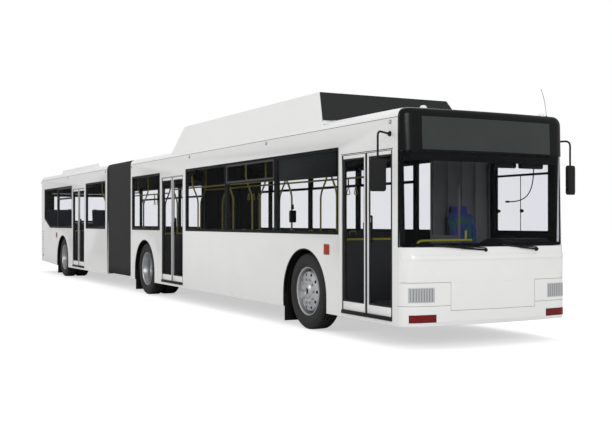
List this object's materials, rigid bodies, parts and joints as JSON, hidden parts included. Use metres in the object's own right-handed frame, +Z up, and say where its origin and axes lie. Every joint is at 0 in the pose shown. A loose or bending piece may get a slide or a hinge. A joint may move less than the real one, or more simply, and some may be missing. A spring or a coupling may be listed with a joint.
{
  "type": "articulated bus",
  "caption": "Low-floor articulated city bus with hinged rear section, folding bellows, double inward-swinging doors, twin rear wheels and a long roof cover for gas tanks.",
  "frame": {"origin": "on the ground under the centre of the bus's overall box, with the bus straight", "axes": "+Z up, -Y the direction of travel, -X the kerb side with the doors"},
  "size_m": [3.2064, 20.06, 3.28],
  "materials": {
    "body_paint": "satin white paint",
    "roof_paint": "white paint",
    "chassis": "black chassis paint",
    "floor": "dark ribbed floor covering",
    "box_black": "black wheel housing",
    "glass": "tinted safety glass",
    "trim_black": "black trim",
    "lamp": "clear lamp cover",
    "lamp_red": "red lamp cover",
    "dash": "grained instrument panel",
    "seat_blue": "woven seat cover",
    "seat_grey": "moulded seat shells",
    "rail": "olive powder coat",
    "steel": "forged running gear",
    "wheel": "silver wheel enamel",
    "table": "checker plate",
    "bellows": "dark coated fabric",
    "engine": "closed engine mass"
  },
  "bodies": {
    "front_section": {"front_floor": "floor", "front_kerb_wall": "body_paint", "front_driver_wall": "body_paint", "front_roof": "roof_paint", "front_mask": "body_paint", "front_header": "body_paint", "windscreen": "glass", "front_bumper": "body_paint", "headlights": "lamp", "wipers": "trim_black", "mirrors": "trim_black", "roof_tank_cover": "roof_paint", "front_side_glass": "glass", "dashboard": "dash", "driver_seat": "seat_blue", "driver_partition": "trim_black", "front_passenger_seats": "seat_grey", "front_handrails": "rail", "front_wheel_boxes": "box_black", "front_axle": "chassis", "middle_axle": "chassis", "turntable_base": "table", "bellows": "bellows"},
    "rear_section": {"turntable_platform": "table", "rear_floor": "floor", "rear_kerb_wall": "body_paint", "rear_driver_wall": "body_paint", "rear_roof": "roof_paint", "rear_end_panel": "body_paint", "rear_glass": "glass", "rear_bumper": "body_paint", "tail_lamps": "lamp_red", "engine": "engine", "rear_axle": "chassis", "rear_roof_unit": "roof_paint", "rear_passenger_seats": "seat_grey", "rear_handrails": "rail", "rear_wheel_boxes": "box_black"},
    "kerb_knuckle": {"kerb_knuckle": "steel"},
    "driver_knuckle": {"driver_knuckle": "steel"},
    "front_kerb_wheel": {"front_kerb_wheel": "wheel"},
    "front_driver_wheel": {"front_driver_wheel": "wheel"},
    "middle_kerb_wheels": {"middle_kerb_wheels": "wheel"},
    "middle_driver_wheels": {"middle_driver_wheels": "wheel"},
    "rear_kerb_wheels": {"rear_kerb_wheels": "wheel"},
    "rear_driver_wheels": {"rear_driver_wheels": "wheel"},
    "steering_wheel": {"steering_wheel": "trim_black"},
    "front_hatch": {"front_hatch": "body_paint"},
    "engine_flap": {"engine_flap": "body_paint"},
    "door_1_front_leaf": {"door_1_front_leaf": "body_paint"},
    "door_1_rear_leaf": {"door_1_rear_leaf": "body_paint"},
    "door_2_front_leaf": {"door_2_front_leaf": "body_paint"},
    "door_2_rear_leaf": {"door_2_rear_leaf": "body_paint"},
    "door_3_front_leaf": {"door_3_front_leaf": "body_paint"},
    "door_3_rear_leaf": {"door_3_rear_leaf": "body_paint"}
  },
  "joints": [
    {"name": "articulation", "type": "hinge", "parent": "front_section", "child": "rear_section", "pos_m": [0, 1.675, 0.25], "axis": [0, 0, 1], "range_deg": [-50, 50], "deforming": ["bellows"]},
    {"name": "kerb_steering", "type": "hinge", "parent": "front_section", "child": "kerb_knuckle", "pos_m": [-0.975, -7.4, 0.535], "axis": [0, 0, 1], "range_deg": [-42, 42]},
    {"name": "driver_steering", "type": "hinge", "parent": "front_section", "child": "driver_knuckle", "pos_m": [0.975, -7.4, 0.535], "axis": [0, 0, 1], "range_deg": [-42, 42]},
    {"name": "front_kerb_roll", "type": "hinge", "parent": "kerb_knuckle", "child": "front_kerb_wheel", "pos_m": [-1.065, -7.4, 0.535], "axis": [1, 0, 0], "continuous": true},
    {"name": "front_driver_roll", "type": "hinge", "parent": "driver_knuckle", "child": "front_driver_wheel", "pos_m": [1.065, -7.4, 0.535], "axis": [1, 0, 0], "continuous": true},
    {"name": "middle_kerb_roll", "type": "hinge", "parent": "front_section", "child": "middle_kerb_wheels", "pos_m": [-1.065, -0.22, 0.535], "axis": [1, 0, 0], "continuous": true},
    {"name": "middle_driver_roll", "type": "hinge", "parent": "front_section", "child": "middle_driver_wheels", "pos_m": [1.065, -0.22, 0.535], "axis": [1, 0, 0], "continuous": true},
    {"name": "rear_kerb_roll", "type": "hinge", "parent": "rear_section", "child": "rear_kerb_wheels", "pos_m": [-1.065, 7.09, 0.535], "axis": [1, 0, 0], "continuous": true},
    {"name": "rear_driver_roll", "type": "hinge", "parent": "rear_section", "child": "rear_driver_wheels", "pos_m": [1.065, 7.09, 0.535], "axis": [1, 0, 0], "continuous": true},
    {"name": "column_turn", "type": "hinge", "parent": "front_section", "child": "steering_wheel", "pos_m": [0.59, -9.55, 1.01], "axis": [0, 0.5736, 0.8192], "range_deg": [-600, 600]},
    {"name": "door_1_front_swing", "type": "hinge", "parent": "front_section", "child": "door_1_front_leaf", "pos_m": [-1.202, -9.643, 0.374], "axis": [0, 0, -1], "range_deg": [0, 88]},
    {"name": "door_1_rear_swing", "type": "hinge", "parent": "front_section", "child": "door_1_rear_leaf", "pos_m": [-1.202, -8.483, 0.374], "axis": [0, 0, 1], "range_deg": [0, 88]},
    {"name": "door_2_front_swing", "type": "hinge", "parent": "front_section", "child": "door_2_front_leaf", "pos_m": [-1.202, -2.495, 0.374], "axis": [0, 0, -1], "range_deg": [0, 88]},
    {"name": "door_2_rear_swing", "type": "hinge", "parent": "front_section", "child": "door_2_rear_leaf", "pos_m": [-1.202, -1.335, 0.374], "axis": [0, 0, 1], "range_deg": [0, 88]},
    {"name": "door_3_front_swing", "type": "hinge", "parent": "rear_section", "child": "door_3_front_leaf", "pos_m": [-1.202, 4.76, 0.374], "axis": [0, 0, -1], "range_deg": [0, 88]},
    {"name": "door_3_rear_swing", "type": "hinge", "parent": "rear_section", "child": "door_3_rear_leaf", "pos_m": [-1.202, 5.92, 0.374], "axis": [0, 0, 1], "range_deg": [0, 88]},
    {"name": "hatch_lift", "type": "hinge", "parent": "front_section", "child": "front_hatch", "pos_m": [0, -10.03, 0.79], "axis": [-1, 0, 0], "range_deg": [0, 70]},
    {"name": "flap_lift", "type": "hinge", "parent": "rear_section", "child": "engine_flap", "pos_m": [0, 10.03, 1.24], "axis": [1, 0, 0], "range_deg": [0, 70]}
  ],
  "couplings": [
    {"joint": "driver_steering", "follows": "kerb_steering", "ratio": 1},
    {"joint": "column_turn", "follows": "kerb_steering", "ratio": 14},
    {"joint": "door_1_rear_swing", "follows": "door_1_front_swing", "ratio": 1},
    {"joint": "door_2_rear_swing", "follows": "door_2_front_swing", "ratio": 1},
    {"joint": "door_3_rear_swing", "follows": "door_3_front_swing", "ratio": 1}
  ]
}
